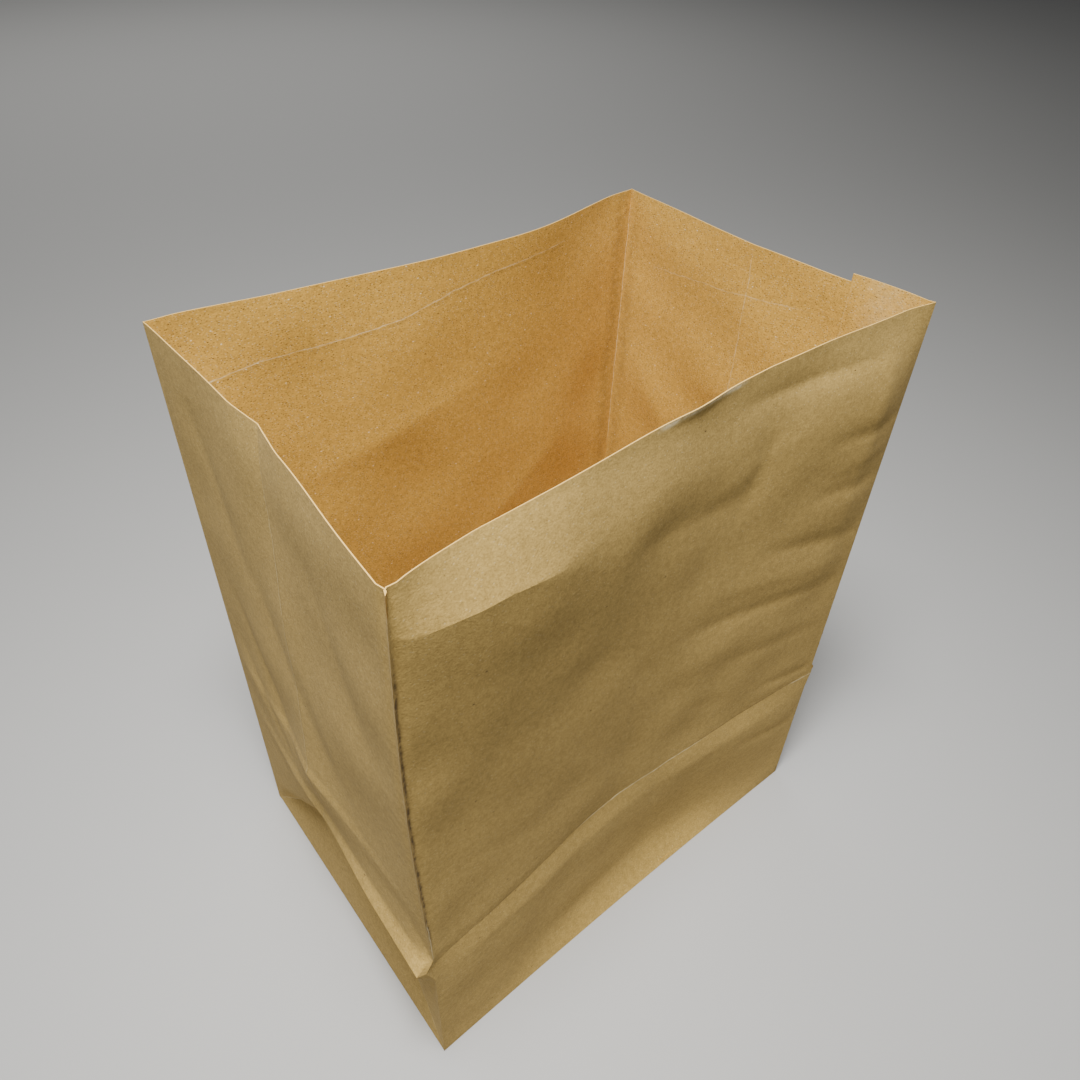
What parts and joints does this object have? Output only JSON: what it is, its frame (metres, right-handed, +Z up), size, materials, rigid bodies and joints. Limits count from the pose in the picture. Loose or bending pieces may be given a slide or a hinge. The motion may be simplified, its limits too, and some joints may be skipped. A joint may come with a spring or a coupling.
{
  "type": "paper bag",
  "caption": "Plain brown kraft paper take-out sack, opened and standing, with side gussets, a glued lap seam and a folded block bottom.",
  "frame": {"origin": "on the floor under the middle of the sack's bottom", "axes": "+Z up out of the open mouth, the wide front face looks along -Y, the gussets look along +X and -X"},
  "size_m": [0.2632, 0.177, 0.324],
  "materials": {
    "kraft_paper": "matte unbleached kraft with recycled specks"
  },
  "bodies": {
    "root": {"paper_bag": "kraft_paper"}
  },
  "joints": []
}
